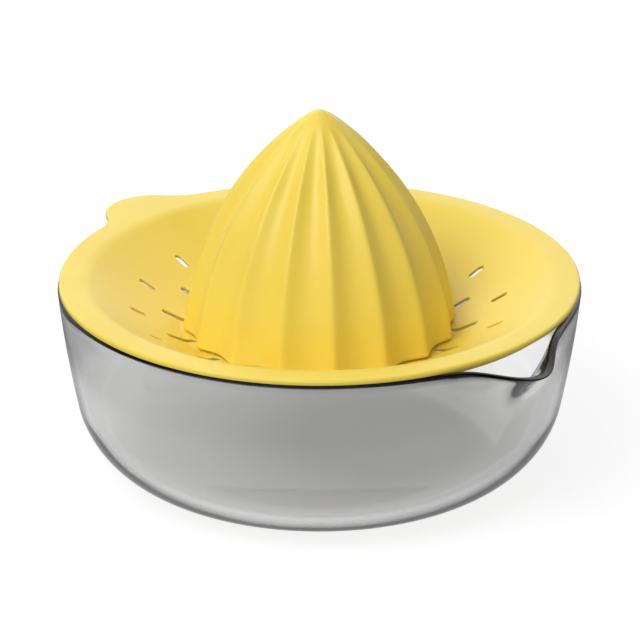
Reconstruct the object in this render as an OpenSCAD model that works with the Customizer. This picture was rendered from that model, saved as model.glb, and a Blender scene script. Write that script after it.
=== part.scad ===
// Hand citrus reamer: a glass bowl with a pouring lip, a strainer that rests
// on its rim, and a fluted reaming cone that lifts off the strainer.
// Millimetres, +Z up, origin at the middle of the bowl's flat foot, lip towards +X.

/* [Bowl] */
// Outer radius of the round rim
rim_r = 70.3; // [62:0.1:90]
// Height of the rim above the table
rim_z = 51.9; // [44:0.1:80]
// Radius of the shoulder between the foot and the wall
shoulder_r = 24.4; // [16:0.1:28]
// Lean of the wall from the upright, in degrees
wall_lean = 8.2; // [4:0.1:14]
// Bow of the wall, as its turn at each end in degrees
wall_bow = 2.8; // [0:0.1:5]
// Thickness of the glass wall
glass_t = 2.2; // [1.8:0.1:3.2]
// Thickness of the glass floor
glass_floor_t = 3; // [2:0.1:6]
// Radius of the two rounded edges of the rim
rim_round = 0.8; // [0.3:0.05:0.85]

/* [Pouring lip] */
// How far the lip reaches past the round rim
lip_reach = 11.2; // [4:0.1:16]
// How far the lip dips below the rim
lip_dip = 3.5; // [0:0.1:8]
// Spread of the reach to either side, in degrees
lip_spread = 6.5; // [4:0.1:8]
// Half width of the dip, in degrees
lip_dip_width = 16; // [8:0.5:30]
// How far below the rim the lip starts to swell out of the wall
lip_depth = 22; // [12:0.5:28]
// How sharply the lip curls out, 1 for a straight slope
lip_curl = 2.2; // [1:0.1:4]

/* [Strainer] */
// How much of the rim shows outside the flange
rim_reveal = 0.3; // [0.1:0.1:2]
// Thickness of the flange that rests on the rim
flange_t = 1.5; // [1.2:0.1:3]
// Width of the flange's flat top
flange_w = 7.3; // [6.8:0.1:12]
// Depth of the dish floor below the flange's top
dish_depth = 14.4; // [8:0.1:22]
// How far the dish sags below a straight slope
dish_bow = 0.3; // [0:0.1:2.5]
// Thickness of the dish
dish_t = 1; // [0.8:0.1:3]
// Length of the rounding between the dish and the flange
dish_round = 2; // [0.5:0.1:3]
// Depth of the ring that centres the strainer in the bowl's mouth
ring_drop = 2; // [1:0.1:4]
// Thickness of the centring ring
ring_t = 1.6; // [1.2:0.1:2]
// Clearance between the centring ring and the glass
ring_gap = 0.7; // [0.5:0.05:1.2]
// Turn of the strainer on the rim, in degrees
strainer_turn = -1; // [-180:0.1:180]

/* [Thumb tab] */
// Radius of the tab's round end
tab_r = 13.9; // [8:0.1:18]
// How far the tab reaches past the flange
tab_reach = 9.1; // [6:0.1:16]
// Radius of the fillets between the tab and the flange
tab_fillet = 5.7; // [2:0.1:10]

/* [Drain slots] */
// Width of a slot
slot_w = 1.8; // [0.8:0.1:2.4]
// How far an inner slot reaches out from the cone's foot, where it starts under the cone's edge
inner_slot_out = 5.7; // [3:0.1:7]
// How far from the cone's foot the outer slots start
outer_slot_out = 9.7; // [9:0.1:12]
// Length of an outer slot
outer_slot_l = 4.3; // [2.6:0.1:8]

/* [Reaming cone] */
// Radius of the cone's ridges at its foot
cone_r = 37; // [28:0.1:40]
// Height of the cone, to the point where its ridges would meet
cone_h = 62.9; // [45:0.1:80]
// Lean of the cone's side at its foot, in degrees
cone_lean = 5.5; // [2:0.1:12]
// Number of flutes
flute_count = 16; // [10:1:20]
// Depth of the flutes
flute_depth = 2.1; // [0.8:0.1:3]
// Share of the foot's radius at which the flutes, run out at the tip, reach their depth
flute_run = 0.5; // [0.3:0.05:0.9]
// Wall under the flutes at the foot
cone_wall = 2.2; // [1.6:0.1:3]
// Height of the rounded bottom edge
foot_round = 1.5; // [0.4:0.1:1.8]
// Radius of the blunt tip
tip_r = 1.4; // [0.8:0.1:3]
// Turn of the ridges from the tab, in degrees
ridge_turn = 6; // [0:0.1:22]

/* [Small cone] */
// How much narrower the strainer's own small cone is than the reaming cone, in radius
small_step_r = 12; // [10:0.1:16]
// How much lower the small cone is than the reaming cone
small_step_h = 21; // [16:0.1:28]
// Lean of the small cone's side at its foot, in degrees
small_lean = 8; // [4:0.1:14]
// Number of flutes on the small cone
small_flutes = 8; // [6:2:12]
// Depth of the small cone's flutes at the foot
small_flute_depth = 3; // [2:0.1:4]
// Wall under the small cone's flutes
small_wall = 2; // [1.4:0.1:3]
// Radius of the small cone's blunt tip
small_tip_r = 2; // [1:0.1:4]

/* [Key fins] */
// Thickness of a fin inside the reaming cone
fin_t = 1.6; // [1.2:0.1:3]
// Height of the fins
fin_h = 26; // [12:0.1:34]
// Clearance between a fin and the bottom of its flute
fin_gap = 0.5; // [0.3:0.05:1]

/* [Hidden] */
$fn = 96;
over = 1;                       // how far a cut runs past a face
room_rise = 0.25;               // how far a room's flat top lies above the last step of its side
tab_sink = 0.05;                // how far the tab's fillets start inside the flange's edge
edge_share = 0.45;              // most of the glass wall that one rounded edge may take
flute_end = 0.14;               // share of the foot's radius at which the flutes have run out
arc_steps = 8;                  // straight steps in a drawn arc
wall_steps = 5;                 // straight steps up the bowl's wall
rim_steps = 3;                  // straight steps in an edge rounding
lip_step = 2.5;                 // angle between the sections of the lip
lip_zone = 40;                  // half angle that the lip's swell takes up
wall_step = 6;                  // angle between the sections of the rest of the bowl
flute_steps = 8;                // points across one flute
side_steps = 16;                // steps up the side of a cone
glass = [0.80, 0.82, 0.83, 0.45];
yellow = [0.97, 0.83, 0.33];

// Bowl profile
sweep = 90 - wall_lean - wall_bow;
shoulder_z = shoulder_r * (1 - cos(sweep));
foot_r = rim_r - (rim_z - shoulder_z) * tan(wall_lean) - shoulder_r * sin(sweep);
inner_shoulder_r = shoulder_r - glass_t;
inner_shoulder_at = [foot_r, glass_floor_t + inner_shoulder_r];
mouth_r = rim_r - glass_t;
rim_edge = min(rim_round, edge_share * glass_t);
lip_root = rim_z - lip_depth;

// Strainer
top_z = rim_z + flange_t;
flange_r = rim_r - rim_reveal;
dish_r = flange_r - flange_w;
floor_z = top_z - dish_depth;
seat_margin = 0.3;              // floor left flat round the cone's foot
seat_gap = 0.02;                // hairline under the cone's foot
floor_r = cone_r + seat_margin;
ring_r = mouth_r - ring_gap;
tab_x = flange_r + tab_reach - tab_r;
slot_pitch = 360 / flute_count;
inner_slot_start = cone_r - flute_depth - cone_wall / 2;
inner_slot_l = cone_r + inner_slot_out - inner_slot_start;

// A curve from a over the control point k to b, at the share t of its way
function curve(a, k, b, t) = (1 - t) * (1 - t) * a + 2 * t * (1 - t) * k + t * t * b;

// A bow from a to b that leaves the straight line by sag in its middle
function bow(a, b, sag, steps) =
    let (side = [b.y - a.y, a.x - b.x] / norm(b - a), knee = (a + b) / 2 + 2 * sag * side)
    [for (i = [0:steps]) curve(a, knee, b, i / steps)];

// An arc of a circle, from angle a0 to a1
function arc(at, r, a0, a1, steps) =
    [for (i = [0:steps]) let (a = a0 + (a1 - a0) * i / steps) at + r * [cos(a), sin(a)]];

// A rounded corner that leaves each leg at the distance e
function blend(a, corner, b, e) =
    let (p = corner + e * (a - corner) / norm(a - corner), q = corner + e * (b - corner) / norm(b - corner))
    [for (i = [0:rim_steps]) curve(p, corner, q, i / rim_steps)];

function reversed(list) = [for (i = [len(list) - 1:-1:0]) list[i]];

// The list without its first item
function tail(list) = [for (i = [1:len(list) - 1]) list[i]];

// The curve moved sideways by d, to its right
function moved(list, d) =
    [for (i = [0:len(list) - 1])
        let (a = list[max(i - 1, 0)], b = list[min(i + 1, len(list) - 1)])
        list[i] + d * [b.y - a.y, a.x - b.x] / norm(b - a)];

// Bowl: half section from the floor's top over the rim to the foot
shoulder_end = [foot_r, shoulder_r] + shoulder_r * [sin(sweep), -cos(sweep)];
inner_shoulder_end = inner_shoulder_at + inner_shoulder_r * [sin(sweep), -cos(sweep)];
wall_sag = norm([rim_r, rim_z] - shoulder_end) * tan(wall_bow / 2) / 2;
rim_inner = arc([mouth_r + rim_edge, rim_z - rim_edge], rim_edge, 180, 90, rim_steps);
rim_outer = arc([rim_r - rim_edge, rim_z - rim_edge], rim_edge, 90, 0, rim_steps);
inner_side = concat(
    arc(inner_shoulder_at, inner_shoulder_r, -90, sweep - 90, arc_steps),
    tail(bow(inner_shoulder_end, rim_inner[0], wall_sag, wall_steps)),
    tail(rim_inner));
outer_side = concat(
    rim_outer,
    tail(bow(rim_outer[rim_steps], shoulder_end, -wall_sag, wall_steps)),
    tail(arc([foot_r, shoulder_r], shoulder_r, sweep - 90, -90, arc_steps)));
bowl_section = concat(inner_side, outer_side);

// Share of the lip's reach at an angle from its middle: a bell with soft flanks
function sech(x) = 2 / (exp(x) + exp(-x));
function bell(a) =
    abs(a) >= lip_zone ? 0 :
    (sech(a / lip_spread) - sech(lip_zone / lip_spread)) / (1 - sech(lip_zone / lip_spread));

// Share of the lip's dip at an angle from its middle
function dip(a) = abs(a) >= lip_dip_width ? 0 : (1 + cos(180 * a / lip_dip_width)) / 2;

// A point of the bowl's section, drawn out and down by the lip at the angle a
function lipped(p, a) =
    let (share = pow(max(p.y - lip_root, 0) / lip_depth, lip_curl),
        r = p.x + lip_reach * bell(a) * share)
    [r * cos(a), r * sin(a), p.y - lip_dip * dip(a) * share];

// Angles of the bowl's sections, close together at the lip
lip_turns = ceil(lip_zone / lip_step);
wall_turns = ceil((180 - lip_zone) / wall_step);
half_angles = concat(
    [for (i = [0:lip_turns - 1]) lip_zone * i / lip_turns],
    [for (i = [0:wall_turns]) lip_zone + (180 - lip_zone) * i / wall_turns]);
bowl_angles = concat(reversed([for (i = [1:len(half_angles) - 2]) -half_angles[i]]), half_angles);

// Skin of the bowl through its sections, run on below the foot
module bowl_skin() {
    section = concat(bowl_section, [[foot_r, -over]]);
    rows = len(section);
    columns = len(bowl_angles);
    points = [for (a = bowl_angles) for (p = section) lipped(p, a)];
    walls = [for (c = [0:columns - 1]) for (i = [0:rows - 2])
        let (k = c * rows + i, n = (c + 1) % columns * rows + i)
        each [[k, n, k + 1], [k + 1, n, n + 1]]];
    floor_top = [for (c = [columns - 1:-1:0]) c * rows];
    foot = [for (c = [0:columns - 1]) c * rows + rows - 1];
    polyhedron(points, concat(walls, [floor_top, foot]), convexity = 6);
}

module glass_bowl() {
    color(glass)
        difference() {
            bowl_skin();
            translate([0, 0, -2 * over])
                cylinder(r = rim_r, h = 2 * over);
        }
}

// Side of a cone: an arc from its foot to its point
function cone_swing(r, h, lean) = 2 * (atan(r / h) - lean);
function cone_bend(r, h, lean) = norm([r, h]) / (2 * sin(cone_swing(r, h, lean) / 2));
function cone_side(r, h, lean, tip) =
    let (bend = cone_bend(r, h, lean), centre = [r - bend * cos(lean), -bend * sin(lean)],
        last = acos((tip - centre.x) / bend))
    arc(centre, bend, lean, last, side_steps);

// Depth of a flute where its ridge has the radius r, for flutes [depth, radius of no depth, radius of full depth]
function flute_at(r, flutes) = flutes[0] * max(0, min(1, (r - flutes[1]) / (flutes[2] - flutes[1])));

// Share of a flute's depth at the share u across it
function hollow(u) = 1 - pow(2 * abs(u - 0.5), 2);

// A fluted solid from its rows, each a ridge radius and a height
module fluted_solid(rows, count, flutes) {
    across = count * flute_steps;
    high = len(rows);
    middle = high * across;
    points = [for (row = rows) for (i = [0:across - 1])
        let (a = 360 * i / across, r = row.x - flute_at(row.x, flutes) * hollow((i % flute_steps) / flute_steps))
        [r * cos(a), r * sin(a), row.y]];
    sides = [for (k = [0:high - 2]) for (i = [0:across - 1])
        let (p = k * across + i, q = k * across + (i + 1) % across)
        each [[p, p + across, q], [q, p + across, q + across]]];
    bottom = [for (i = [0:across - 1]) [middle, i, (i + 1) % across]];
    top = [for (i = [across - 1:-1:0]) (high - 1) * across + i];
    polyhedron(concat(points, [[0, 0, rows[0].y]]), concat(sides, bottom, [top]), convexity = 6);
}

// Strainer: half section from the middle of the floor over the flange and back under the dish
dish_slope = bow([floor_r, floor_z], [dish_r, top_z], dish_bow, arc_steps);
dish_corner = blend(dish_slope[arc_steps - 1], [dish_r, top_z], [flange_r, top_z], dish_round);
dish_top = concat([[0, floor_z]], [for (i = [0:arc_steps - 1]) dish_slope[i]], dish_corner);
dish_under = moved([for (i = [0:arc_steps - 1]) dish_slope[i]], dish_t);
strainer_section = concat(
    dish_top,
    [[flange_r, top_z], [flange_r, rim_z],
     [ring_r, rim_z], [ring_r, rim_z - ring_drop],
     [ring_r - ring_t, rim_z - ring_drop], [ring_r - ring_t, rim_z],
     [dish_r + dish_round, rim_z]],
    reversed(tail(dish_under)),
    [[floor_r + dish_t / 2, floor_z - dish_t], [0, floor_z - dish_t]]);

// Thumb tab outline: a round end with a fillet on each side, rooted in the flange
module tab_outline() {
    far = flange_r + tab_fillet;
    near = tab_r + tab_fillet;
    fillet_x = (far * far - near * near + tab_x * tab_x) / (2 * tab_x);
    fillet_y = sqrt(far * far - fillet_x * fillet_x);
    spread = atan2(fillet_y, fillet_x);
    turn = atan2(fillet_y, fillet_x - tab_x);
    side = tail(arc([fillet_x, fillet_y], tab_fillet, spread - 180, turn - 180, arc_steps));
    end = arc([tab_x, 0], tab_r, turn, -turn, 2 * arc_steps);
    other_side = [for (p = reversed(side)) [p.x, -p.y]];
    start = (flange_r - tab_sink) * [cos(spread), sin(spread)];
    root = arc([0, 0], flange_r - flange_w / 2, -spread, spread, arc_steps);
    polygon(concat([start], side, tail(end), tail(other_side), [[start.x, -start.y]], root));
}

module thumb_tab() {
    rotate([0, 0, 180])
        translate([0, 0, rim_z])
            linear_extrude(flange_t)
                tab_outline();
}

// A ring of radial slots that start at the radius r
module slot_ring(r, length, turn) {
    for (i = [0:flute_count - 1])
        rotate([0, 0, turn + i * slot_pitch])
            translate([r + slot_w / 2, 0, floor_z - dish_t - over]) {
                translate([0, -slot_w / 2, 0])
                    cube([length - slot_w, slot_w, dish_depth + dish_t + over]);
                for (end = [0, length - slot_w])
                    translate([end, 0, 0])
                        cylinder(d = slot_w, h = dish_depth + dish_t + over);
            }
}

// The small cone on the strainer's floor
small_r = cone_r - small_step_r;
small_hollows = [small_flute_depth, 0, small_r];
small_side = cone_side(small_r, cone_h - small_step_h, small_lean, small_tip_r);
small_root = [small_r + dish_t / 2 * tan(small_lean), -dish_t / 2];

module small_cone() {
    translate([0, 0, floor_z])
        fluted_solid(concat([small_root], tail(small_side)), small_flutes, small_hollows);
}

// A revolved room under the flutes of a cone, from below its foot to a flat top
module room(side, top) {
    low = -dish_t - over;
    rotate_extrude()
        polygon(concat([[0, low], [side[0].x, low]], side, [[side[len(side) - 1].x, top], [0, top]]));
}

// The side of a cone moved in by t from the bottoms of its flutes, as far up as it stays wide
function under_flutes(side, flutes, t) =
    [for (p = side) let (low = p.x - flute_at(p.x, flutes)) if (low > 2 * abs(t)) [low - t, p.y]];

module small_cone_hollow() {
    side = under_flutes(small_side, small_hollows, small_wall);
    translate([0, 0, floor_z])
        room(side, side[len(side) - 1].y + room_rise);
}

module strainer() {
    color(yellow)
        rotate([0, 0, strainer_turn])
            difference() {
                union() {
                    rotate_extrude()
                        polygon(strainer_section);
                    thumb_tab();
                    rotate([0, 0, ridge_turn])
                        small_cone();
                }
                small_cone_hollow();
                slot_ring(cone_r + outer_slot_out, outer_slot_l, ridge_turn);
                slot_ring(inner_slot_start, inner_slot_l, ridge_turn + slot_pitch / 2);
            }
}

// Reaming cone: a fluted shell that stands on the dish floor, with fins that key it to the small cone
cone_hollows = [flute_depth, flute_end * cone_r, flute_run * cone_r];
cone_outer = cone_side(cone_r, cone_h, cone_lean, tip_r);
cone_edge = [for (i = [0:rim_steps - 1])
    let (a = 90 * i / rim_steps) [cone_r - foot_round * (1 - sin(a)), foot_round * (1 - cos(a))]];
cone_section = concat(cone_edge, [for (p = cone_outer) if (p.y > foot_round) p]);
fin_pitch = 360 / small_flutes;

module cone_cavity() {
    side = under_flutes(cone_outer, cone_hollows, cone_wall);
    room(side, side[len(side) - 1].y + room_rise);
}

// Room for the small cone, which the fins leave free down to the bottoms of its flutes
module cone_core() {
    side = under_flutes(small_side, small_hollows, -fin_gap);
    room(side, max(side[len(side) - 1].y, fin_h) + over);
}

module key_fins() {
    for (i = [0:2:small_flutes - 1])
        rotate([0, 0, (i + 0.5) * fin_pitch])
            translate([0, -fin_t / 2, -dish_t - over])
                cube([cone_r, fin_t, fin_h + dish_t + over]);
}

module reamer_cone() {
    color(yellow)
        translate([0, 0, floor_z + seat_gap])
            rotate([0, 0, strainer_turn + ridge_turn])
                difference() {
                    fluted_solid(cone_section, flute_count, cone_hollows);
                    difference() {
                        cone_cavity();
                        key_fins();
                    }
                    cone_core();
                }
}

glass_bowl();
strainer();
reamer_cone();
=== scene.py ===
import math

import bmesh
import bpy
import numpy as np
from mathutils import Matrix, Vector


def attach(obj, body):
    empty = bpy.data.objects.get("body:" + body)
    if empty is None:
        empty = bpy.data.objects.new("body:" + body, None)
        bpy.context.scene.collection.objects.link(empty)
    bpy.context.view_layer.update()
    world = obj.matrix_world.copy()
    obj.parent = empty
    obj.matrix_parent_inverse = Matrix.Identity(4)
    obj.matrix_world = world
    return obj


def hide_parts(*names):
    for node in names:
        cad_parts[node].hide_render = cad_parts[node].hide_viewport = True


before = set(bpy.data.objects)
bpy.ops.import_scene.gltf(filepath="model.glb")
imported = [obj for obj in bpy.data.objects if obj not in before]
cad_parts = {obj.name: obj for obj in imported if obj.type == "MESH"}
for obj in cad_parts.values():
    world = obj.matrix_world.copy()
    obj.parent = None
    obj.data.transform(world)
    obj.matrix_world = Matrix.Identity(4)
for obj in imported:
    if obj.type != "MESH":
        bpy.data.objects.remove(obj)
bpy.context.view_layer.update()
mm = 0.001

scene = bpy.context.scene
scene.view_settings.view_transform = "Standard"


# drawing in the half section, as (radius, height) in millimetres

def arcPoints(centre, radius, start, end, steps):
    turns = np.radians(np.linspace(start, end, steps + 1))
    return [(centre[0] + radius * math.cos(a), centre[1] + radius * math.sin(a)) for a in turns]


def curvePoints(a, knee, b, steps):
    a, knee, b = np.array(a, float), np.array(knee, float), np.array(b, float)
    shares = np.linspace(0, 1, steps + 1)
    return [tuple((1 - t) ** 2 * a + 2 * t * (1 - t) * knee + t * t * b) for t in shares]


def bowPoints(a, b, sag, steps):
    a, b = np.array(a, float), np.array(b, float)
    side = np.array([b[1] - a[1], a[0] - b[0]]) / np.linalg.norm(b - a)
    return curvePoints(a, (a + b) / 2 + 2 * sag * side, b, steps)


def roundCorner(a, corner, b, reach, steps):
    a, corner, b = np.array(a, float), np.array(corner, float), np.array(b, float)
    first = corner + reach * (a - corner) / np.linalg.norm(a - corner)
    last = corner + reach * (b - corner) / np.linalg.norm(b - corner)
    return curvePoints(first, corner, last, steps)


def coneSide(radius, height, lean, tip, steps):
    swing = 2 * (math.degrees(math.atan(radius / height)) - lean)
    bend = math.hypot(radius, height) / (2 * math.sin(math.radians(swing / 2)))
    centre = (radius - bend * math.cos(math.radians(lean)), -bend * math.sin(math.radians(lean)))
    last = math.degrees(math.acos((tip - centre[0]) / bend))
    return arcPoints(centre, bend, lean, last, steps)


def raised(points, height):
    return [(r, z + height) for r, z in points]


def turnPoints(radius, height, angles):
    # one column of points for each angle in degrees
    turns = np.radians(angles)[:, None]
    x, y = radius * np.cos(turns), radius * np.sin(turns)
    return np.stack([x, y, np.broadcast_to(height, x.shape)], axis=-1)


# meshes

def linkPiece(name, mesh):
    piece = bpy.data.objects.new(name, mesh)
    scene.collection.objects.link(piece)
    return piece


def skinPiece(name, rings):
    # rings[column][row] is a point; the first and last rows of all columns meet on the axis
    columns, rows = rings.shape[:2]
    inner = rings[:, 1:-1] * mm
    points = [rings[0, 0] * mm, rings[0, -1] * mm] + list(inner.reshape(-1, 3))
    at = lambda c, k: 2 + (c % columns) * (rows - 2) + k
    faces = []
    for c in range(columns):
        faces.append((0, at(c, 0), at(c + 1, 0)))
        faces.extend((at(c, k), at(c, k + 1), at(c + 1, k + 1), at(c + 1, k)) for k in range(rows - 3))
        faces.append((1, at(c + 1, rows - 3), at(c, rows - 3)))
    return meshPiece(name, [tuple(p) for p in points], faces)


def meshPiece(name, points, faces):
    mesh = bpy.data.meshes.new(name)
    mesh.from_pydata(points, [], faces)
    fixNormals(mesh)
    return linkPiece(name, mesh)


def fixNormals(mesh):
    shape = bmesh.new()
    shape.from_mesh(mesh)
    bmesh.ops.recalc_face_normals(shape, faces=shape.faces)
    if shape.calc_volume(signed=True) < 0:
        bmesh.ops.reverse_faces(shape, faces=shape.faces)
    shape.to_mesh(mesh)
    shape.free()


def pointValues(piece, name, values):
    # values[column][row] of a skinned piece, kept as a point attribute
    line = np.concatenate([[values[0, 0], values[0, -1]], values[:, 1:-1].ravel()])
    store = piece.data.attributes.new(name, "FLOAT", "POINT")
    store.data.foreach_set("value", line.astype(np.float32))


def bakeModifiers(piece):
    graph = bpy.context.evaluated_depsgraph_get()
    mesh = bpy.data.meshes.new_from_object(piece.evaluated_get(graph))
    piece.modifiers.clear()
    piece.data = mesh
    mesh.name = piece.name


def cutWith(piece, tool, operation):
    change = piece.modifiers.new(operation.title(), "BOOLEAN")
    change.operation = operation
    change.solver = "EXACT"
    change.object = tool
    bakeModifiers(piece)
    bpy.data.objects.remove(tool)


def smoothPiece(piece, angle):
    piece.data.shade_smooth()
    piece.data.set_sharp_from_angle(angle=math.radians(angle))


# geometry nodes

def startTree(name, sizes):
    tree = bpy.data.node_groups.new(name, "GeometryNodeTree")
    tree.is_modifier = True
    tree.interface.new_socket("Geometry", in_out="INPUT", socket_type="NodeSocketGeometry")
    for label, kind in sizes:
        tree.interface.new_socket(label, in_out="INPUT", socket_type=kind)
    tree.interface.new_socket("Geometry", in_out="OUTPUT", socket_type="NodeSocketGeometry")
    return tree, tree.nodes.new("NodeGroupInput"), tree.nodes.new("NodeGroupOutput")


def mathNode(tree, operation, *values):
    node = tree.nodes.new("ShaderNodeMath")
    node.operation = operation
    for socket, value in zip(node.inputs, values):
        if isinstance(value, (int, float)):
            socket.default_value = value
        else:
            tree.links.new(value, socket)
    return node.outputs[0]


def endTree(tree, geometry, given, out):
    realize = tree.nodes.new("GeometryNodeRealizeInstances")
    paint = tree.nodes.new("GeometryNodeSetMaterial")
    tree.links.new(geometry, realize.inputs["Geometry"])
    tree.links.new(realize.outputs["Geometry"], paint.inputs["Geometry"])
    tree.links.new(given.outputs["Material"], paint.inputs["Material"])
    tree.links.new(paint.outputs["Geometry"], out.inputs["Geometry"])


def applyTree(piece, tree, values):
    change = piece.modifiers.new(tree.name, "NODES")
    change.node_group = tree
    for item in tree.interface.items_tree:
        if item.in_out == "INPUT" and item.name in values:
            change[item.identifier] = values[item.name]
    bakeModifiers(piece)


def makeFluteTree():
    # pulls a turned skin in towards the axis between evenly spaced ridges
    tree, given, out = startTree("cutFlutes", [
        ("Flutes", "NodeSocketFloat"), ("Cut", "NodeSocketFloat"), ("Turn", "NodeSocketFloat"),
        ("Crest", "NodeSocketFloat"), ("Material", "NodeSocketMaterial")])
    place = tree.nodes.new("ShaderNodeSeparateXYZ")
    tree.links.new(tree.nodes.new("GeometryNodeInputPosition").outputs[0], place.inputs[0])
    share = tree.nodes.new("GeometryNodeInputNamedAttribute")
    share.data_type = "FLOAT"
    share.inputs["Name"].default_value = "fluteShare"
    angle = mathNode(tree, "ARCTAN2", place.outputs["Y"], place.outputs["X"])
    turned = mathNode(tree, "SUBTRACT", angle, given.outputs["Turn"])
    count = mathNode(tree, "MULTIPLY", mathNode(tree, "DIVIDE", turned, 2 * math.pi),
                     given.outputs["Flutes"])
    across = mathNode(tree, "FRACT", count)
    fromRidge = mathNode(tree, "SUBTRACT", 1.0,
                         mathNode(tree, "ABSOLUTE", mathNode(tree, "MULTIPLY_ADD", across, 2.0, -1.0)))
    crest = given.outputs["Crest"]
    crestSquare = mathNode(tree, "MULTIPLY", crest, crest)
    soft = mathNode(tree, "SUBTRACT", mathNode(
        tree, "SQRT", mathNode(tree, "MULTIPLY_ADD", fromRidge, fromRidge, crestSquare)), crest)
    most = mathNode(tree, "SUBTRACT", mathNode(tree, "SQRT", mathNode(tree, "ADD", crestSquare, 1.0)), crest)
    walk = mathNode(tree, "DIVIDE", soft, most)
    hollow = mathNode(tree, "MULTIPLY", walk, mathNode(tree, "SUBTRACT", 2.0, walk))
    pull = mathNode(tree, "MULTIPLY", mathNode(tree, "MULTIPLY", hollow, given.outputs["Cut"]),
                    mathNode(tree, "MULTIPLY", share.outputs["Attribute"], -1.0))
    move = tree.nodes.new("ShaderNodeCombineXYZ")
    tree.links.new(mathNode(tree, "MULTIPLY", place.outputs["X"], pull), move.inputs["X"])
    tree.links.new(mathNode(tree, "MULTIPLY", place.outputs["Y"], pull), move.inputs["Y"])
    shift = tree.nodes.new("GeometryNodeSetPosition")
    tree.links.new(given.outputs["Geometry"], shift.inputs["Geometry"])
    tree.links.new(move.outputs[0], shift.inputs["Offset"])
    endTree(tree, shift.outputs["Geometry"], given, out)
    return tree


def makeRingTree():
    # sets copies of one shape round the axis
    tree, given, out = startTree("setRoundAxis", [
        ("Count", "NodeSocketInt"), ("Turn", "NodeSocketFloat"), ("Material", "NodeSocketMaterial")])
    line = tree.nodes.new("GeometryNodeMeshLine")
    line.inputs["Offset"].default_value = (0, 0, 0)
    tree.links.new(given.outputs["Count"], line.inputs["Count"])
    pitch = mathNode(tree, "DIVIDE", 2 * math.pi, given.outputs["Count"])
    angle = mathNode(tree, "MULTIPLY_ADD", tree.nodes.new("GeometryNodeInputIndex").outputs[0], pitch,
                     given.outputs["Turn"])
    turn = tree.nodes.new("ShaderNodeCombineXYZ")
    tree.links.new(angle, turn.inputs["Z"])
    copies = tree.nodes.new("GeometryNodeInstanceOnPoints")
    tree.links.new(line.outputs["Mesh"], copies.inputs["Points"])
    tree.links.new(given.outputs["Geometry"], copies.inputs["Instance"])
    tree.links.new(turn.outputs[0], copies.inputs["Rotation"])
    endTree(tree, copies.outputs["Instances"], given, out)
    return tree


# materials

def shaderNode(tree, kind, values=None, **settings):
    node = tree.nodes.new(kind)
    for key, value in settings.items():
        setattr(node, key, value)
    for key, value in (values or {}).items():
        if hasattr(value, "is_linked"):
            tree.links.new(value, node.inputs[key])
        else:
            node.inputs[key].default_value = value
    return node


def startMaterial(name):
    material = bpy.data.materials.new(name)
    material.use_nodes = True
    tree = material.node_tree
    return material, tree, tree.nodes["Principled BSDF"]


def rampNode(tree, factor, stops):
    ramp = shaderNode(tree, "ShaderNodeValToRGB", {"Fac": factor})
    while len(ramp.color_ramp.elements) < len(stops):
        ramp.color_ramp.elements.new(1)
    for element, (place, colour) in zip(ramp.color_ramp.elements, stops):
        element.position = place
        element.color = (*colour, 1)
    return ramp.outputs["Color"]


def spread(tree, value, start, end, first, last):
    return shaderNode(tree, "ShaderNodeMapRange", {
        "Value": value, "From Min": start, "From Max": end, "To Min": first, "To Max": last},
        interpolation_type="SMOOTHSTEP").outputs["Result"]


def noiseNode(tree, scale, detail):
    place = shaderNode(tree, "ShaderNodeTexCoord").outputs["Object"]
    return shaderNode(tree, "ShaderNodeTexNoise", {
        "Vector": place, "Scale": scale, "Detail": detail}).outputs["Fac"]


noiseRange = (0.3, 0.7)  # where most of a noise's values lie


def noiseRough(tree, noise, limits):
    return shaderNode(tree, "ShaderNodeMapRange", {
        "Value": noise, "From Min": noiseRange[0], "From Max": noiseRange[1],
        "To Min": limits[0], "To Max": limits[1]}).outputs["Result"]


def bumpNode(tree, noise, strength, height):
    return shaderNode(tree, "ShaderNodeBump", {
        "Height": noise, "Strength": strength, "Distance": height}).outputs["Normal"]


plastic = {
    "pale": (0.90, 0.690, 0.096), "deep": (0.87, 0.650, 0.078),
    "cloudScale": 38, "cloudDetail": 3.0, "cloudRange": (0.35, 0.65),
    "grainScale": 2600, "grainDetail": 2.0, "grainHeight": 0.00002, "grainStrength": 0.12,
    "roughness": (0.40, 0.50), "gloss": 0.5,
}


def makePlastic():
    material, tree, skin = startMaterial("satinYellowPlastic")
    clouds = noiseNode(tree, plastic["cloudScale"], plastic["cloudDetail"])
    grain = noiseNode(tree, plastic["grainScale"], plastic["grainDetail"])
    deepTo, paleFrom = plastic["cloudRange"]
    colour = rampNode(tree, clouds, [(deepTo, plastic["deep"]), (paleFrom, plastic["pale"])])
    bump = bumpNode(tree, grain, plastic["grainStrength"], plastic["grainHeight"])
    tree.links.new(colour, skin.inputs["Base Color"])
    tree.links.new(noiseRough(tree, grain, plastic["roughness"]), skin.inputs["Roughness"])
    tree.links.new(bump, skin.inputs["Normal"])
    skin.inputs["Specular IOR Level"].default_value = plastic["gloss"]
    return material


glass = {
    # lip: painted light, a clearer tone than the body; rim: painted shade, a near-black tone along the rim;
    # the rim gloss tint dims the rim's reflections as painted shade
    "lip": (0.98, 0.98, 0.98), "body": (0.78, 0.78, 0.778), "rim": (0.0015, 0.0015, 0.0012), "bodyAt": 0.35,
    "waveScale": 55, "waveDetail": 1.0, "waveHeight": 0.0004, "waveStrength": 0.05,
    "roughness": (0.03, 0.06), "rimRoughness": 0.3, "rimPaintedShadeGloss": (0.03, 0.03, 0.03), "bend": 1.48,
}


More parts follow.
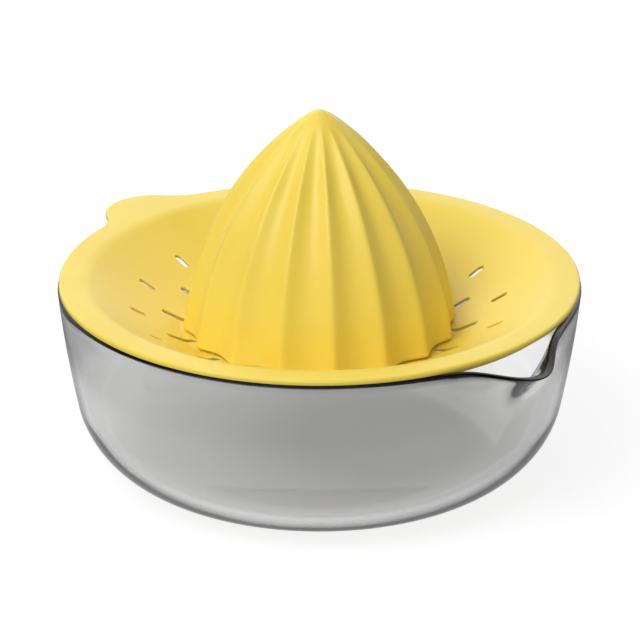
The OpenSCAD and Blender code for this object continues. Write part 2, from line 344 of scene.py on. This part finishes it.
def makeGlass():
    # the glass tone attribute is 0 on the lip, painted light that makes the lip clearer than the body,
    # bodyAt on the body, and 1 on the rim, a near-black band of painted shade
    material, tree, skin = startMaterial("clearGlass")
    bodyAt = glass["bodyAt"]
    waves = noiseNode(tree, glass["waveScale"], glass["waveDetail"])
    tone = shaderNode(tree, "ShaderNodeAttribute", attribute_name="paintedGlassTone").outputs["Fac"]
    # rays that leave the glass through the rim don't get the painted rim shade
    leaving = shaderNode(tree, "ShaderNodeNewGeometry").outputs["Backfacing"]
    seenTone = mathNode(tree, "MINIMUM", tone, mathNode(tree, "SUBTRACT", 1 + bodyAt, leaving))
    colour = rampNode(tree, seenTone, [(0, glass["lip"]), (bodyAt, glass["body"]), (1, glass["rim"])])
    # the rim's gloss is dimmed, painted shade that keeps the rim band near black
    gloss = rampNode(tree, tone, [(bodyAt, (1, 1, 1)), (1, glass["rimPaintedShadeGloss"])])
    rimRough = spread(tree, tone, bodyAt, 1, glass["roughness"][0], glass["rimRoughness"])
    rough = mathNode(tree, "MAXIMUM", noiseRough(tree, waves, glass["roughness"]), rimRough)
    bump = bumpNode(tree, waves, glass["waveStrength"], glass["waveHeight"])
    tree.links.new(colour, skin.inputs["Base Color"])
    tree.links.new(gloss, skin.inputs["Specular Tint"])
    tree.links.new(rough, skin.inputs["Roughness"])
    tree.links.new(bump, skin.inputs["Normal"])
    skin.inputs["Transmission Weight"].default_value = 1
    skin.inputs["IOR"].default_value = glass["bend"]
    return material


yellowPlastic = makePlastic()
clearGlass = makeGlass()
print("materials made")


# the glass bowl: a turned skin whose rim is drawn out into the pouring lip

bowl = {
    "rimRadius": 70.3, "rimHeight": 51.9, "shoulder": 24.4, "lean": 8.2, "bow": 2.8,
    "wall": 2.2, "floor": 3.0, "rimEdge": 0.95, "rimShadeFade": 0.35,
    "rimPaintedShade": (0.35, 0.9), "lipPaintedShade": (0.0, 1.7),  # depth of the painted shade band along the rim, inside and outside
    "lipReach": 11.2, "lipBead": 0.9, "lipDip": 3.5, "lipSpread": 6.5, "lipDipWidth": 16,
    "lipDepth": 22, "lipCurl": 2.2, "lipZone": 40, "lipColumns": 110, "wallColumns": 120,
    "flatRings": (0.35, 0.7), "rimSteps": 7, "shoulderSteps": 26, "wallSteps": 18, "sharpFrom": 50,
}


def bowlSection():
    rim, top, wall, edge = bowl["rimRadius"], bowl["rimHeight"], bowl["wall"], bowl["rimEdge"]
    shoulder, floor = bowl["shoulder"], bowl["floor"]
    sweep = 90 - bowl["lean"] - bowl["bow"]
    shoulderTop = shoulder * (1 - math.cos(math.radians(sweep)))
    foot = (rim - (top - shoulderTop) * math.tan(math.radians(bowl["lean"]))
            - shoulder * math.sin(math.radians(sweep)))
    inside = shoulder - wall
    rimInner = arcPoints((rim - wall + edge, top - edge), edge, 180, 90, bowl["rimSteps"])
    rimOuter = arcPoints((rim - edge, top - edge), edge, 90, 0, bowl["rimSteps"])
    insideArc = arcPoints((foot, floor + inside), inside, -90, sweep - 90, bowl["shoulderSteps"])
    outsideArc = arcPoints((foot, shoulder), shoulder, sweep - 90, -90, bowl["shoulderSteps"])
    wallLength = math.hypot(rim - outsideArc[0][0], top - outsideArc[0][1])
    sag = wallLength * math.tan(math.radians(bowl["bow"] / 2)) / 2
    flat = [foot * share for share in bowl["flatRings"]]
    section = [(0, floor)] + [(r, floor) for r in flat] + insideArc
    section += bowPoints(insideArc[-1], rimInner[0], sag, bowl["wallSteps"])[1:] + rimInner[1:] + rimOuter
    section += bowPoints(rimOuter[-1], outsideArc[0], -sag, bowl["wallSteps"])[1:] + outsideArc[1:]
    return np.array(section + [(r, 0) for r in reversed(flat)] + [(0, 0)])


def lipShares(angle):
    # how far the rim is drawn out and how far it dips, at angles from the lip's middle
    a, zone = np.abs(angle), bowl["lipZone"]
    soft = lambda x: 1 / np.cosh(x / bowl["lipSpread"])
    reach = np.where(a < zone, (soft(a) - soft(zone)) / (1 - soft(zone)), 0)
    dip = np.where(a < bowl["lipDipWidth"], (1 + np.cos(np.pi * a / bowl["lipDipWidth"])) / 2, 0)
    return reach[:, None], dip[:, None]


def makeBowl():
    section = bowlSection()
    heights, zone = section[:, 1], bowl["lipZone"]
    angles = np.concatenate([np.linspace(-zone, zone, bowl["lipColumns"], endpoint=False),
                             np.linspace(zone, 360 - zone, bowl["wallColumns"], endpoint=False)])
    reach, dip = lipShares(np.where(angles > 180, angles - 360, angles))
    root = bowl["rimHeight"] - bowl["lipDepth"]
    share = (np.maximum(heights - root, 0) / bowl["lipDepth"]) ** bowl["lipCurl"]
    side = (np.arange(len(section)) > np.argmax(heights)).astype(int)  # 0 inside, 1 outside
    out = np.array([bowl["lipReach"] - bowl["lipBead"], bowl["lipReach"]])[side]
    piece = skinPiece("glassBowl", turnPoints(
        section[:, 0] + out * share * reach, heights - bowl["lipDip"] * dip * share, angles))
    depth = np.array(bowl["rimPaintedShade"])[side] + np.array(bowl["lipPaintedShade"])[side] * reach
    # painted shade: a near-black band along the rim, deeper at the lip
    rimShadeBand = np.clip((heights - bowl["rimHeight"] + depth) / bowl["rimShadeFade"] + 0.5, 0, 1)
    # the tone falls towards 0 on the drawn-out lip, painted light that makes it clearer than the body
    pointValues(piece, "paintedGlassTone", np.maximum(glass["bodyAt"] * (1 - reach * share), rimShadeBand))
    piece.data.materials.append(clearGlass)
    smoothPiece(piece, bowl["sharpFrom"])
    return piece


# the strainer: flange with a thumb tab, slotted dish, centring ring and the small cone

strainer = {
    "flangeRadius": 70.0, "flangeTop": 53.4, "flange": 1.5, "flangeWidth": 7.3,
    "edge": 1.0, "underEdge": 0.3, "floorTop": 39.0, "floorRadius": 37.3,
    "dishBow": 0.3, "dish": 1.0, "dishRound": 2.2, "floorRound": 1.2,
    "dishLap": 2.0, "rowGap": 0.4, "ringRadius": 67.4, "ring": 1.6, "ringDrop": 2.0, "ringEdge": 0.3,
    "tabReach": 9.3, "tabSides": ((13.9, 25.0), (12.2, 11.0)),  # end round and fillet, far and near side
    "turn": -1.0, "tabFrom": 68.3, "tabZone": 21, "columns": 250, "tabColumns": 130,
    "smallRadius": 25.0, "smallHeight": 41.9, "smallLean": 8.0, "smallTip": 2.0, "smallWall": 2.0,
    "smallFlutes": 8, "smallCut": 0.12, "smallCrest": 0.12, "smallFoot": 0.7, "footCut": 0.9,
    "hollowRise": 0.25, "hollowFlat": 6.0, "ridgeTurn": 6.0, "sharpFrom": 32,
    "steps": {"small": 40, "cap": 6, "smallFoot": 5, "slope": 26, "floorRound": 4, "dishRound": 8,
              "edge": 7, "underEdge": 3, "tabEnd": 60, "tabFillet": 30},
}

slots = {
    "count": 16, "endSteps": 8, "slopeSteps": 40,
    "outer": {"start": 46.7, "length": 4.3, "width": 1.8},
    "inner": {"start": 34.5, "length": 8.2, "width": 2.15},
    # height from the dish's face, and how much is added to the half width there
    "levels": [(0.3, 0.32), (-0.04, 0.12), (-0.13, 0.04), (-0.25, 0.0), (-0.55, 0.03),
               (-1.2, 0.38), (-6.0, 0.38)],
}


def smallCone():
    return coneSide(strainer["smallRadius"], strainer["smallHeight"], strainer["smallLean"],
                    strainer["smallTip"], strainer["steps"]["small"])


def dishSlope(steps):
    flangeInner = strainer["flangeRadius"] - strainer["flangeWidth"]
    return bowPoints((strainer["floorRadius"], strainer["floorTop"]), (flangeInner, strainer["flangeTop"]),
                     strainer["dishBow"], steps)


def strainerSection():
    # from the small cone's tip over the dish and the flange, and back below to the axis
    steps, gap = strainer["steps"], strainer["rowGap"]
    top, bottom = strainer["flangeTop"], strainer["flangeTop"] - strainer["flange"]
    floor, under = strainer["floorTop"], strainer["floorTop"] - strainer["dish"]
    outer, edge, tabFrom = strainer["flangeRadius"], strainer["edge"], strainer["tabFrom"]
    small = raised(smallCone(), floor)
    # a round tip takes the place of the last rows
    cap = curvePoints(small[-3], small[-1], (0, small[-1][1]), steps["cap"])
    smallSide = [*reversed(cap), *reversed(small[1:-3])]
    smallFoot = roundCorner(small[1], small[0], (strainer["floorRadius"], floor), strainer["smallFoot"],
                            steps["smallFoot"])
    slope = dishSlope(steps["slope"])
    inner = slope[-1]
    floorTurn = roundCorner(smallFoot[-1], slope[0], slope[2], strainer["floorRound"], steps["floorRound"])
    dishTurn = roundCorner(slope[-3], inner, (outer, top), strainer["dishRound"], steps["dishRound"])
    between = [p for p in slope if floorTurn[-1][0] + gap < p[0] < dishTurn[0][0] - gap]
    dish = floorTurn + between + dishTurn
    flangeTop = [(tabFrom, top)]
    flangeTop += roundCorner((inner[0], top), (outer, top), (outer, bottom), edge, steps["edge"])
    ringOut, ringIn = strainer["ringRadius"], strainer["ringRadius"] - strainer["ring"]
    ringLow, ringEdge = bottom - strainer["ringDrop"], strainer["ringEdge"]
    flangeUnder = roundCorner((outer, top), (outer, bottom), (ringOut, bottom), strainer["underEdge"],
                              steps["underEdge"])
    flangeUnder += [(tabFrom, bottom), (ringOut, bottom)]
    flangeUnder += roundCorner((ringOut, bottom), (ringOut, ringLow), (ringIn, ringLow), ringEdge,
                               steps["underEdge"])
    flangeUnder += roundCorner((ringOut, ringLow), (ringIn, ringLow), (ringIn, bottom), ringEdge,
                               steps["underEdge"])
    flangeUnder += [(ringIn, bottom), (inner[0] + strainer["dishLap"], bottom)]
    a, b = np.array(slope[0]), np.array(slope[-1])
    away = np.array([b[1] - a[1], a[0] - b[0]]) / np.linalg.norm(b - a) * strainer["dish"]
    dishUnder = [(r + away[0], z + away[1]) for r, z in reversed(slope[2:-2])]
    dishUnder += [(strainer["floorRadius"] + strainer["dish"] / 2, under)]
    hollow = [(r * (1 - strainer["smallCut"]) - strainer["smallWall"], z) for r, z in small]
    hollow = [p for p in hollow if p[0] > strainer["smallWall"]]
    hollowFoot, (hollowEnd, hollowTop) = hollow[0][0], hollow[-1]
    hollowTop += strainer["hollowRise"]
    inside = [(hollowFoot + strainer["hollowFlat"], under), (hollowFoot, under), *hollow]
    inside += [(hollowEnd / 2, hollowTop), (0, hollowTop)]
    section = smallSide + smallFoot + dish + flangeTop + flangeUnder + dishUnder + inside
    shares = np.zeros(len(section))
    fluted = len(smallSide) + len(smallFoot)
    shares[:len(smallSide)] = 1
    shares[len(smallSide):fluted] = np.linspace(1, strainer["footCut"], len(smallFoot))
    return np.array(section), shares


def tabOutline(angles, endRound, fillet):
    # how far the flange reaches at angles from the tab's middle
    radius, steps = strainer["flangeRadius"], strainer["steps"]
    middle = radius + strainer["tabReach"] - endRound
    far, near = radius + fillet, endRound + fillet
    filletX = (far ** 2 - near ** 2 + middle ** 2) / (2 * middle)
    filletY = math.sqrt(far ** 2 - filletX ** 2)
    flangeTurn = math.degrees(math.atan2(filletY, filletX))
    endTurn = math.degrees(math.atan2(filletY, filletX - middle))
    line = arcPoints((middle, 0), endRound, 0, endTurn, steps["tabEnd"])
    line += arcPoints((filletX, filletY), fillet, endTurn - 180, flangeTurn - 180, steps["tabFillet"])[1:]
    polar = np.degrees([math.atan2(y, x) for x, y in line])
    return np.interp(np.abs(angles), polar, [math.hypot(x, y) for x, y in line], right=radius)


def slotCutter(start, length, width):
    half, steps = width / 2, slots["endSteps"]
    slope = np.array(dishSlope(slots["slopeSteps"]))
    rings = []
    for depth, spare in slots["levels"]:
        size = half + spare
        outline = arcPoints((start + length - half, 0), size, -90, 90, steps)
        outline += arcPoints((start + half, 0), size, 90, 270, steps)
        heights = np.interp([math.hypot(x, y) for x, y in outline], slope[:, 0], slope[:, 1])
        rings.append([(x, y, z + depth) for (x, y), z in zip(outline, heights)])
    around = len(rings[0])
    points = [tuple(v * mm for v in p) for ring in rings for p in ring]
    faces = [tuple(range(around)), tuple(reversed(range(len(points) - around, len(points))))]
    for k in range(len(rings) - 1):
        for i in range(around):
            n = (i + 1) % around
            faces.append((k * around + i, (k + 1) * around + i, (k + 1) * around + n, k * around + n))
    return meshPiece("slotCutter", points, faces)


def ridgeTurn():
    return strainer["turn"] + strainer["ridgeTurn"]


def makeStrainer(fluteTree, ringTree):
    section, shares = strainerSection()
    zone, tabFrom = strainer["tabZone"], strainer["tabFrom"]
    angles = np.concatenate([np.linspace(-zone, zone, strainer["tabColumns"], endpoint=False),
                             np.linspace(zone, 360 - zone, strainer["columns"], endpoint=False)])
    fromTab = np.where(angles > 180, angles - 360, angles)
    farSide, nearSide = (tabOutline(fromTab, *rounds) for rounds in strainer["tabSides"])
    reach = np.where(fromTab < 0, farSide, nearSide)[:, None] - strainer["flangeRadius"]
    edgeStart = strainer["flangeRadius"] - strainer["edge"]
    share = np.clip((section[:, 0] - tabFrom) / (edgeStart - tabFrom), 0, 1)
    piece = skinPiece("strainerDish", turnPoints(
        section[:, 0] + reach * share, section[:, 1], fromTab + 180 + strainer["turn"]))
    pointValues(piece, "fluteShare", np.tile(shares, (len(fromTab), 1)))
    applyTree(piece, fluteTree, {
        "Flutes": float(strainer["smallFlutes"]), "Cut": strainer["smallCut"],
        "Turn": math.radians(ridgeTurn()), "Crest": strainer["smallCrest"], "Material": yellowPlastic})
    pitch = 360 / slots["count"]
    for ring, turn in (("outer", ridgeTurn()), ("inner", ridgeTurn() + pitch / 2)):
        cutter = slotCutter(**slots[ring])
        applyTree(cutter, ringTree, {
            "Count": slots["count"], "Turn": math.radians(turn), "Material": yellowPlastic})
        cutWith(piece, cutter, "DIFFERENCE")
    smoothPiece(piece, strainer["sharpFrom"])
    return piece


# the reaming cone: a fluted cap with fins that drop into the small cone's flutes

cone = {
    "radius": 37.0, "height": 62.9, "lean": 5.5, "tip": 1.4, "flutes": 16, "depth": 2.1, "crest": 0.15,
    "noFlute": 5.18, "fullFlute": 18.5,  # radii between which the flutes run out
    "wall": 2.2, "seatGap": 0.02, "fluteColumns": 28,
    # how far in from the foot's edge, and how high there
    "footUnder": [(0, 1.5), (0.03, 1.15), (0.16, 0.85), (0.42, 0.66), (0.8, 0.58), (1.4, 0.54),
                  (1.62, 0.45), (1.7, 0)],
    "sideFrom": 1.95, "lead": [(0.4, 0), (0.1, 0.12)], "cavityFrom": 0.4, "cavityRise": 0.25,
    "finThick": 1.6, "finHeight": 26, "finGap": 0.5, "finFoot": 0.25, "finSink": 0.9, "finTurn": 22.5,
    "sideSteps": 60, "capSteps": 8, "finRows": 14, "sharpFrom": 40,
}


def fluteDepth(radius):
    # the flutes run out towards the tip
    run = (np.asarray(radius) - cone["noFlute"]) / (cone["fullFlute"] - cone["noFlute"])
    return cone["depth"] * np.clip(run, 0, 1)


def coneFloor():
    return strainer["floorTop"] + cone["seatGap"]


def coneSection():
    side = coneSide(cone["radius"], cone["height"], cone["lean"], cone["tip"], cone["sideSteps"])
    # a round tip takes the place of the last rows
    cap = curvePoints(side[-4], side[-1], (0, side[-1][1]), cone["capSteps"])
    foot = [(cone["radius"] - back, up) for back, up in cone["footUnder"]]
    outer = [*reversed(cap), *[p for p in reversed(side[:-4]) if p[1] > cone["sideFrom"]], *foot]
    cavity = [(r - float(fluteDepth(r)) - cone["wall"], z) for r, z in side]
    cavity = [p for p in cavity if p[0] > cone["wall"]]
    inner = [(cavity[0][0] + out, up) for out, up in cone["lead"]]
    inner += [p for p in cavity if p[1] > cone["cavityFrom"]]
    ceiling = inner[-1][1] + cone["cavityRise"]
    inner += [(inner[-1][0] / 2, ceiling), (0, ceiling)]
    section = np.array(raised(outer + inner, coneFloor()))
    shares = fluteDepth(section[:, 0]) / np.maximum(section[:, 0], cone["tip"])
    shares[len(outer):] = 0
    return section, shares, cavity


def finOutline(cavity):
    # in the half section: from the small cone's flutes, with a gap, into the wall of the cap
    valley = np.array([(r * (1 - strainer["smallCut"]) + cone["finGap"], z) for r, z in smallCone()])
    wall = np.array(cavity)
    heights = np.linspace(cone["finFoot"], cone["finHeight"], cone["finRows"])
    near = [(float(np.interp(z, valley[:, 1], valley[:, 0])), z) for z in heights]
    far = [(float(np.interp(z, wall[:, 1], wall[:, 0])) + cone["finSink"], z) for z in reversed(heights)]
    return raised(near + far, coneFloor())


def makeFin(cavity):
    outline = finOutline(cavity)
    half, count = cone["finThick"] / 2, len(outline)
    points = [(r * mm, s * half * mm, z * mm) for s in (-1, 1) for r, z in outline]
    faces = [tuple(range(count)), tuple(range(2 * count - 1, count - 1, -1))]
    faces += [(i, (i + 1) % count, count + (i + 1) % count, count + i) for i in range(count)]
    return meshPiece("keyFin", points, faces)


def makeCone(fluteTree, ringTree):
    section, shares, cavity = coneSection()
    columns = cone["flutes"] * cone["fluteColumns"]
    angles = np.arange(columns) * 360 / columns + ridgeTurn()
    piece = skinPiece("reamingCone", turnPoints(section[:, 0], section[:, 1], angles))
    pointValues(piece, "fluteShare", np.tile(shares, (columns, 1)))
    applyTree(piece, fluteTree, {
        "Flutes": float(cone["flutes"]), "Cut": 1.0, "Turn": math.radians(ridgeTurn()),
        "Crest": cone["crest"], "Material": yellowPlastic})
    fin = makeFin(cavity)
    applyTree(fin, ringTree, {
        "Count": strainer["smallFlutes"] // 2, "Turn": math.radians(ridgeTurn() + cone["finTurn"]),
        "Material": yellowPlastic})
    cutWith(piece, fin, "UNION")
    smoothPiece(piece, cone["sharpFrom"])
    return piece


fluteTree = makeFluteTree()
ringTree = makeRingTree()
glassBowl = makeBowl()
print("bowl made:", len(glassBowl.data.polygons), "faces")
strainerDish = makeStrainer(fluteTree, ringTree)
print("strainer made:", len(strainerDish.data.polygons), "faces")
reamingCone = makeCone(fluteTree, ringTree)
print("cone made:", len(reamingCone.data.polygons), "faces")

for piece, body, node, slot in ((glassBowl, "bowl", "glass_bowl", "clear_glass"),
                                (strainerDish, "strainer", "strainer", "yellow_plastic"),
                                (reamingCone, "cone", "reamer_cone", "yellow_plastic")):
    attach(piece, body)
    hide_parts(node)


# floor, light and camera

studio = {
    "floorSize": 40.0, "floorDrop": 0.0002, "floorColour": 0.20, "floorBounce": 0.18,
    "glow": 0.86, "whiteFrom": 0.3, "whiteTo": 0.9,
    "glossUnder": 0.85, "glossNear": 0.45, "glossFar": 0.10,
    "glossUnderTo": (0.054, 0.066), "glossFarTo": (0.085, 0.120),
    "glowUnder": 0.40, "glowNear": 0.77, "underTo": (0.006, 0.078), "underAt": (0.018, 0.010),
    "glowFar": 0.40, "farTo": (0.092, 0.108), "whiteAgain": (0.122, 0.140), "glowWhite": 1.05,
    # where and how wide the patch of painted light on the floor is
    "lightPatchAt": (0.057, 0.068), "lightPatchTo": (0.016, 0.026),
    "sky": 0.38, "skySeen": 1.0, "skyInGlass": 0.8,
    "glossBack": 2.0, "glossFront": 0.3, "glossWall": (0.0, 0.9),
    "keyPower": 63.0, "keySize": 1.8, "keyAt": (-1.22, -1.50, 2.28),
    "backPower": 10.0, "backSize": 2.0, "backAt": (-1.00, 1.80, 1.90),
}

view = {
    "distance": 1.2, "turn": -45.9, "tilt": 22.97, "aim": 0.04053,
    "lens": 250.29, "sensor": 36, "shift": 0.00075,
}

halfStep = 0.5  # between a ray's depth of 0 and 1


def seenRay(tree, kind):
    # 1 for rays of a kind that have not been scattered by a matt surface
    path = shaderNode(tree, "ShaderNodeLightPath")
    straight = mathNode(tree, "LESS_THAN", path.outputs["Diffuse Depth"], halfStep)
    return mathNode(tree, "MULTIPLY", path.outputs[kind], straight)


def viewPlace(right, away, up=0):
    # a place given to the right of, away from and above the object as the camera sees it
    c, s = math.cos(math.radians(view["turn"])), math.sin(math.radians(view["turn"]))
    return Vector((-s * right - c * away, c * right - s * away, up))


def distanceFrom(tree, place, middle):
    return shaderNode(tree, "ShaderNodeVectorMath", {0: place, 1: viewPlace(*middle)},
                      operation="DISTANCE").outputs["Value"]


def makeFloor():
    # seen through the glass, the floor carries painted shade under the bowl and in a ring far off, and
    # painted light in a patch and beyond the ring; seen in gloss, its glow falls off with distance as
    # painted reflection tones
    half = studio["floorSize"] / 2
    corners = ((-half, -half), (half, -half), (half, half), (-half, half))
    mesh = bpy.data.meshes.new("floor")
    mesh.from_pydata([(x, y, -studio["floorDrop"]) for x, y in corners], [], [(0, 1, 2, 3)])
    floor = linkPiece("floor", mesh)
    material, tree, skin = startMaterial("paleFloor")
    tone = studio["floorColour"]
    skin.inputs["Base Color"].default_value = (tone, tone, tone, 1)
    skin.inputs["Roughness"].default_value = 1
    skin.inputs["Specular IOR Level"].default_value = 0
    skin.inputs["Emission Color"].default_value = (1, 1, 1, 1)
    place = shaderNode(tree, "ShaderNodeTexCoord").outputs["Object"]
    reach = distanceFrom(tree, place, (0, 0))
    # painted shade under the bowl, centred off the axis, and a ring of painted shade far off
    under = spread(tree, distanceFrom(tree, place, studio["underAt"]), *studio["underTo"],
                   studio["glowUnder"], studio["glowNear"])
    far = spread(tree, reach, *studio["farTo"], studio["glowNear"], studio["glowFar"])
    # painted light beyond the ring, and a patch of painted light on the floor
    beyond = spread(tree, reach, *studio["whiteAgain"], 0, studio["glowWhite"])
    lightPatch = spread(tree, distanceFrom(tree, place, studio["lightPatchAt"]), *studio["lightPatchTo"],
                   studio["glowWhite"], 0)
    seen = mathNode(tree, "MINIMUM", under, far)
    for other in (beyond, lightPatch):
        seen = mathNode(tree, "MAXIMUM", seen, other)
    gloss = mathNode(tree, "MINIMUM",
                     spread(tree, reach, *studio["glossUnderTo"], studio["glossUnder"], studio["glossNear"]),
                     spread(tree, reach, *studio["glossFarTo"], studio["glossNear"], studio["glossFar"]))
    inGlass = mathNode(tree, "MULTIPLY", seenRay(tree, "Is Transmission Ray"), seen)
    inGloss = mathNode(tree, "MULTIPLY", seenRay(tree, "Is Glossy Ray"), gloss)
    white = spread(tree, reach, studio["whiteFrom"], studio["whiteTo"], studio["glow"], 1)
    straight = mathNode(tree, "MULTIPLY", seenRay(tree, "Is Camera Ray"), white)
    depth = shaderNode(tree, "ShaderNodeLightPath").outputs["Diffuse Depth"]
    scattered = mathNode(tree, "GREATER_THAN", depth, halfStep)
    bounce = mathNode(tree, "MULTIPLY", scattered, studio["floorBounce"])
    glow = straight
    for other in (inGlass, inGloss, bounce):
        glow = mathNode(tree, "MAXIMUM", glow, other)
    tree.links.new(glow, skin.inputs["Emission Strength"])
    mesh.materials.append(material)


def makeSky():
    # gloss shows a pale wall behind the object
    world = bpy.data.worlds.new("softRoom")
    scene.world = world
    world.use_nodes = True
    tree = world.node_tree
    sky = tree.nodes["Background"]
    sky.inputs["Color"].default_value = (1, 1, 1, 1)
    place = shaderNode(tree, "ShaderNodeTexCoord").outputs["Generated"]
    away = shaderNode(tree, "ShaderNodeVectorMath", {0: place, 1: viewPlace(0, 1)},
                      operation="DOT_PRODUCT").outputs["Value"]
    path = shaderNode(tree, "ShaderNodeLightPath")
    outside = mathNode(tree, "LESS_THAN", path.outputs["Transmission Depth"], halfStep)
    gloss = mathNode(tree, "MULTIPLY", mathNode(tree, "MULTIPLY", seenRay(tree, "Is Glossy Ray"), outside),
                     spread(tree, away, *studio["glossWall"], studio["glossFront"], studio["glossBack"]))
    straight = mathNode(tree, "MULTIPLY", path.outputs["Is Camera Ray"], studio["skySeen"])
    inGlass = mathNode(tree, "MULTIPLY", seenRay(tree, "Is Transmission Ray"), studio["skyInGlass"])
    seen = mathNode(tree, "MAXIMUM", straight, mathNode(tree, "MAXIMUM", inGlass, gloss))
    tree.links.new(mathNode(tree, "MAXIMUM", seen, studio["sky"]), sky.inputs["Strength"])


def makeLamp(name, power, size, place, inGloss):
    lamp = bpy.data.lights.new(name, "AREA")
    lamp.energy, lamp.size = power, size
    holder = bpy.data.objects.new(name, lamp)
    holder.location = viewPlace(*place)
    holder.visible_glossy = inGloss
    aim = Vector((0, 0, view["aim"])) - holder.location
    holder.rotation_euler = aim.to_track_quat("-Z", "Y").to_euler()
    scene.collection.objects.link(holder)


def makeCamera():
    turn, tilt = math.radians(view["turn"]), math.radians(view["tilt"])
    back = Vector((math.cos(turn) * math.cos(tilt), math.sin(turn) * math.cos(tilt), math.sin(tilt)))
    lens = bpy.data.cameras.new("camera")
    lens.lens, lens.sensor_width, lens.shift_x = view["lens"], view["sensor"], view["shift"]
    holder = bpy.data.objects.new("camera", lens)
    holder.location = Vector((0, 0, view["aim"])) + back * view["distance"]
    holder.rotation_euler = (-back).to_track_quat("-Z", "Y").to_euler()
    scene.collection.objects.link(holder)
    scene.camera = holder


makeFloor()
makeSky()
makeLamp("key", studio["keyPower"], studio["keySize"], studio["keyAt"], True)
makeLamp("back", studio["backPower"], studio["backSize"], studio["backAt"], False)
makeCamera()
print("studio made")
